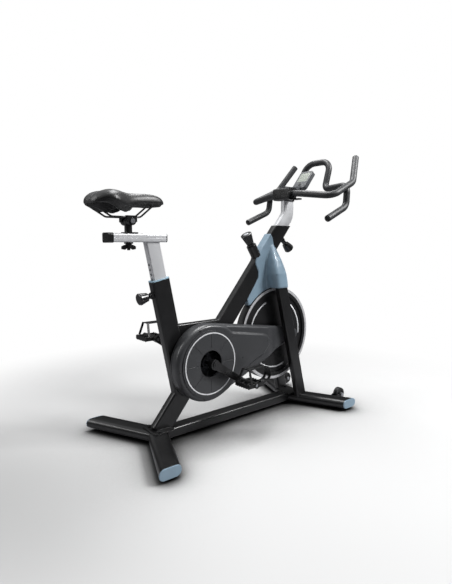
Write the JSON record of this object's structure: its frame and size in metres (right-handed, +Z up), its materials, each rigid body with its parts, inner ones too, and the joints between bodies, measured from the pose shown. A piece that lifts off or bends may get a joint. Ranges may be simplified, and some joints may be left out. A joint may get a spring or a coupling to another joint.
{
  "type": "indoor spin bike",
  "caption": "Indoor spin bike with a belt-driven flywheel, toe-cage pedals, sliding saddle and handlebar posts, aero handlebar, resistance knob and transport wheels.",
  "frame": {"origin": "on the floor, at the middle of the bike's length and width; the crank axis stands 173 mm behind it", "axes": "+X forward, +Y to the rider's left, +Z up"},
  "size_m": [1.3161, 0.5952, 1.2405],
  "materials": {
    "frame_black": "satin powder coat",
    "cover_blue": "satin moulded plastic",
    "cap_blue": "satin moulded plastic",
    "guard_grey": "fine textured plastic",
    "white_trim": "gloss",
    "silver_post": "satin metallic",
    "zinc_steel": "zinc plated",
    "black_steel": "gloss black",
    "flywheel_iron": "painted face, turned rim",
    "pulley_alloy": "machined",
    "belt_rubber": "ribbed",
    "foot_rubber": "matt",
    "wheel_black": "satin",
    "knob_black": "gloss",
    "sleeve_pale": "satin",
    "pedal_black": "satin",
    "bar_grip": "dipped coating",
    "saddle_cover": "fine grain vinyl",
    "saddle_shell": "satin",
    "console_grey": "satin",
    "display": "pale reflective display",
    "felt": "pressed felt"
  },
  "bodies": {
    "frame": {"main_frame": "frame_black", "rear_foot": "frame_black", "front_foot": "frame_black", "foot_end_caps": "cap_blue", "foot_bolts": "zinc_steel", "wheel_bolts": "zinc_steel", "guard_outer": "guard_grey", "guard_inner": "guard_grey", "guard_disc": "guard_grey", "guard_ring": "white_trim", "guard_screws": "zinc_steel", "head_cover_left": "cover_blue", "head_cover_right": "cover_blue", "tube_sleeves": "sleeve_pale", "bottom_bracket_bearings": "zinc_steel", "drive_belt": "belt_rubber", "flywheel_bearings": "zinc_steel", "pin_housings": "zinc_steel"},
    "flywheel": {"flywheel": "flywheel_iron", "flywheel_shaft": "zinc_steel", "flywheel_pulley": "pulley_alloy", "shaft_nut": "zinc_steel"},
    "cranks": {"crank_axle": "zinc_steel", "drive_pulley": "pulley_alloy", "crank_right": "black_steel", "crank_left": "black_steel", "crank_bolts": "zinc_steel", "pedal_spindles": "zinc_steel"},
    "right_pedal": {"pedal_right": "pedal_black", "toe_cage_right": "pedal_black"},
    "left_pedal": {"pedal_left": "pedal_black", "toe_cage_left": "pedal_black"},
    "brake_plunger": {"brake_sleeve": "black_steel"},
    "knob": {"resistance_knob": "knob_black"},
    "brake": {"brake_rod": "zinc_steel", "brake_shoe": "felt"},
    "seat_pop_pin": {"seat_pin": "knob_black"},
    "handlebar_pop_pin": {"handlebar_pin": "knob_black"},
    "seat_slider": {"seat_post": "silver_post", "slider_end_caps": "knob_black"},
    "carriage": {"saddle_carriage": "black_steel"},
    "clamp_knob": {"wing_knob": "knob_black"},
    "saddle": {"clamp_jaws": "black_steel", "clamp_bolt": "zinc_steel", "saddle_rails": "black_steel", "saddle_base": "saddle_shell", "saddle_pad": "saddle_cover"},
    "handlebar": {"handlebar_post": "silver_post", "bar_clamp": "black_steel", "outer_bar": "bar_grip", "aero_bar": "bar_grip", "console": "console_grey", "console_lens": "display"},
    "button": {"console_button": "knob_black"},
    "left_wheel": {"transport_wheel_left": "wheel_black"},
    "right_wheel": {"transport_wheel_right": "wheel_black"},
    "foot_rear_left": {"levelling_foot_rear_left": "foot_rubber"},
    "foot_rear_right": {"levelling_foot_rear_right": "foot_rubber"},
    "foot_front_left": {"levelling_foot_front_left": "foot_rubber"},
    "foot_front_right": {"levelling_foot_front_right": "foot_rubber"}
  },
  "joints": [
    {"name": "flywheel_spin", "type": "hinge", "parent": "frame", "child": "flywheel", "pos_m": [0.28, 0, 0.373], "axis": [0, 1, 0], "continuous": true},
    {"name": "crank_spin", "type": "hinge", "parent": "frame", "child": "cranks", "pos_m": [-0.173, 0, 0.31], "axis": [0, 1, 0], "continuous": true},
    {"name": "right_pedal_spin", "type": "hinge", "parent": "cranks", "child": "right_pedal", "pos_m": [-0.03043, -0.165, 0.21741], "axis": [0, 1, 0], "continuous": true},
    {"name": "left_pedal_spin", "type": "hinge", "parent": "cranks", "child": "left_pedal", "pos_m": [-0.31557, 0.165, 0.40259], "axis": [0, 1, 0], "continuous": true},
    {"name": "brake_press", "type": "slide", "parent": "frame", "child": "brake_plunger", "axis": [0.5446, 0, -0.8387], "range_m": [0, 0.003]},
    {"name": "resistance_turn", "type": "hinge", "parent": "brake_plunger", "child": "knob", "pos_m": [0.13, 0, 0.8], "axis": [0.5446, 0, -0.8387], "range_deg": [0, 1080]},
    {"name": "brake_feed", "type": "slide", "parent": "brake_plunger", "child": "brake", "axis": [0.5446, 0, -0.8387], "range_m": [0, 0.003]},
    {"name": "seat_height", "type": "slide", "parent": "frame", "child": "seat_slider", "axis": [-0.2079, 0, 0.9781], "range_m": [-0.12, 0.08]},
    {"name": "saddle_fore_aft", "type": "slide", "parent": "seat_slider", "child": "carriage", "axis": [1, 0, 0], "range_m": [-0.05, 0.04]},
    {"name": "wing_knob_turn", "type": "hinge", "parent": "carriage", "child": "clamp_knob", "pos_m": [-0.498, 0, 0.79], "axis": [0, 0, 1], "range_deg": [0, 720]},
    {"name": "saddle_tilt", "type": "hinge", "parent": "carriage", "child": "saddle", "pos_m": [-0.498, 0, 0.892], "axis": [0, 1, 0], "range_deg": [-8, 8]},
    {"name": "seat_pin_pull", "type": "slide", "parent": "frame", "child": "seat_pop_pin", "axis": [-0.9781, 0, -0.2079], "range_m": [-0.006, 0.006]},
    {"name": "handlebar_height", "type": "slide", "parent": "frame", "child": "handlebar", "axis": [0.6401, 0, 0.7683], "range_m": [-0.02, 0.08]},
    {"name": "handlebar_pin_pull", "type": "slide", "parent": "frame", "child": "handlebar_pop_pin", "axis": [0.7683, 0, -0.6401], "range_m": [-0.006, 0.006]},
    {"name": "console_button_press", "type": "slide", "parent": "handlebar", "child": "button", "axis": [0.7771, 0, -0.6293], "range_m": [0, 0.0015]},
    {"name": "left_wheel_spin", "type": "hinge", "parent": "frame", "child": "left_wheel", "pos_m": [0.577, 0.183, 0.046], "axis": [0, 1, 0], "continuous": true},
    {"name": "right_wheel_spin", "type": "hinge", "parent": "frame", "child": "right_wheel", "pos_m": [0.577, -0.183, 0.046], "axis": [0, 1, 0], "continuous": true},
    {"name": "level_rear_left", "type": "slide", "parent": "frame", "child": "foot_rear_left", "axis": [0, 0, -1], "range_m": [0, 0.008]},
    {"name": "level_rear_right", "type": "slide", "parent": "frame", "child": "foot_rear_right", "axis": [0, 0, -1], "range_m": [0, 0.008]},
    {"name": "level_front_left", "type": "slide", "parent": "frame", "child": "foot_front_left", "axis": [0, 0, -1], "range_m": [0, 0.008]},
    {"name": "level_front_right", "type": "slide", "parent": "frame", "child": "foot_front_right", "axis": [0, 0, -1], "range_m": [0, 0.008]}
  ],
  "couplings": [
    {"joint": "crank_spin", "follows": "flywheel_spin", "ratio": 0.21739},
    {"joint": "brake_feed", "follows": "resistance_turn", "m_per_rad": 0.00015915}
  ]
}
